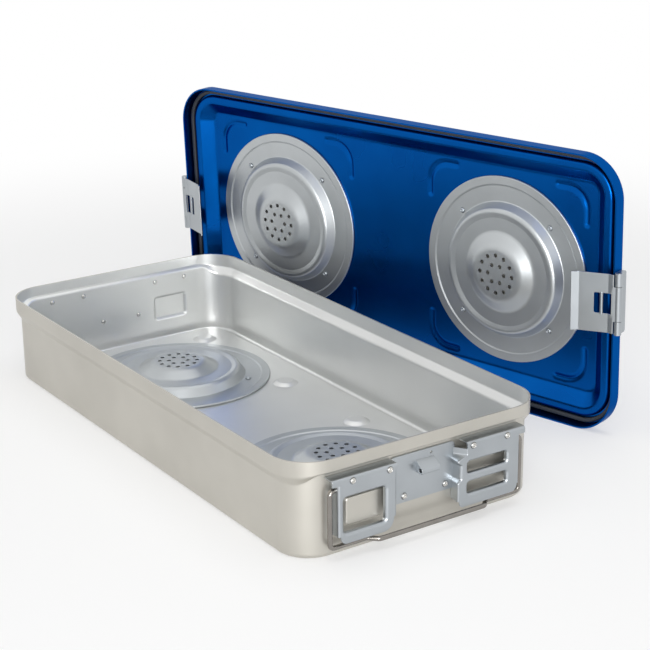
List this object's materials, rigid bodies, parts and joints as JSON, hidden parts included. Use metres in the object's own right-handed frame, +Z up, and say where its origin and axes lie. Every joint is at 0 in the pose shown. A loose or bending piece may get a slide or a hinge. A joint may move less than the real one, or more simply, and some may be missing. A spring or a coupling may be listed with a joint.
{
  "type": "rigid sterilization container",
  "caption": "Stepped aluminium sterilization tray with wire bails and end holders, and its vented blue lid stood on edge behind it with latches folded in.",
  "frame": {"origin": "middle of the set's box, on the surface that the tray and the lid stand on", "axes": "+X along the tray's long side, +Y to the back where the lid stands, +Z up"},
  "size_m": [0.6486, 0.4214, 0.2833],
  "materials": {
    "satin_aluminium": "satin",
    "stamped_aluminium": "satin",
    "blue_anodised": "blue anodised",
    "bright_steel": "bright",
    "grey_rubber": "matt",
    "filter_paper": "matt"
  },
  "bodies": {
    "tray": {"tray_shell": "satin_aluminium", "tray_vent_plate_left": "stamped_aluminium", "tray_filter_left": "filter_paper", "tray_vent_rivet_left_1": "stamped_aluminium", "tray_vent_rivet_left_2": "stamped_aluminium", "tray_vent_rivet_left_3": "stamped_aluminium", "tray_vent_rivet_left_4": "stamped_aluminium", "tray_vent_plate_right": "stamped_aluminium", "tray_filter_right": "filter_paper", "tray_vent_rivet_right_1": "stamped_aluminium", "tray_vent_rivet_right_2": "stamped_aluminium", "tray_vent_rivet_right_3": "stamped_aluminium", "tray_vent_rivet_right_4": "stamped_aluminium", "strike_plate_left": "stamped_aluminium", "label_holder_left": "stamped_aluminium", "tag_holder_left": "stamped_aluminium", "holder_rivet_left_1": "bright_steel", "holder_rivet_left_2": "bright_steel", "holder_rivet_left_3": "bright_steel", "holder_rivet_left_4": "bright_steel", "strike_rivet_left_1": "bright_steel", "strike_rivet_left_2": "bright_steel", "strike_plate_right": "stamped_aluminium", "label_holder_right": "stamped_aluminium", "tag_holder_right": "stamped_aluminium", "holder_rivet_right_1": "bright_steel", "holder_rivet_right_2": "bright_steel", "holder_rivet_right_3": "bright_steel", "holder_rivet_right_4": "bright_steel", "strike_rivet_right_1": "bright_steel", "strike_rivet_right_2": "bright_steel"},
    "lid": {"lid_shell": "blue_anodised", "lid_gasket": "grey_rubber", "lid_vent_plate_left": "stamped_aluminium", "lid_filter_left": "filter_paper", "lid_vent_rivet_left_1": "stamped_aluminium", "lid_vent_rivet_left_2": "stamped_aluminium", "lid_vent_rivet_left_3": "stamped_aluminium", "lid_vent_rivet_left_4": "stamped_aluminium", "lid_vent_plate_right": "stamped_aluminium", "lid_filter_right": "filter_paper", "lid_vent_rivet_right_1": "stamped_aluminium", "lid_vent_rivet_right_2": "stamped_aluminium", "lid_vent_rivet_right_3": "stamped_aluminium", "lid_vent_rivet_right_4": "stamped_aluminium", "hinge_leaf_left": "stamped_aluminium", "hinge_pin_left": "bright_steel", "hinge_leaf_right": "stamped_aluminium", "hinge_pin_right": "bright_steel"},
    "latch_left": {"latch_left": "stamped_aluminium"},
    "latch_right": {"latch_right": "stamped_aluminium"},
    "bail_left": {"bail_left": "bright_steel"},
    "bail_right": {"bail_right": "bright_steel"}
  },
  "joints": [
    {"name": "lid_lift", "type": "slide", "parent": "tray", "child": "lid", "axis": [0, 0, 1], "range_m": [0, 0.25]},
    {"name": "latch_left_swing", "type": "hinge", "parent": "lid", "child": "latch_left", "pos_m": [-0.32038, 0.04923, 0.14145], "axis": [-0.0085, 0.0338, -0.9994], "range_deg": [0, 165]},
    {"name": "latch_right_swing", "type": "hinge", "parent": "lid", "child": "latch_right", "pos_m": [0.25999, 0.19501, 0.14145], "axis": [0.0085, -0.0338, 0.9994], "range_deg": [0, 165]},
    {"name": "bail_left_swing", "type": "hinge", "parent": "tray", "child": "bail_left", "pos_m": [-0.26895, -0.07416, 0.064], "axis": [0, 1, 0], "range_deg": [0, 90]},
    {"name": "bail_right_swing", "type": "hinge", "parent": "tray", "child": "bail_right", "pos_m": [0.31405, -0.07416, 0.064], "axis": [0, -1, 0], "range_deg": [0, 90]}
  ]
}
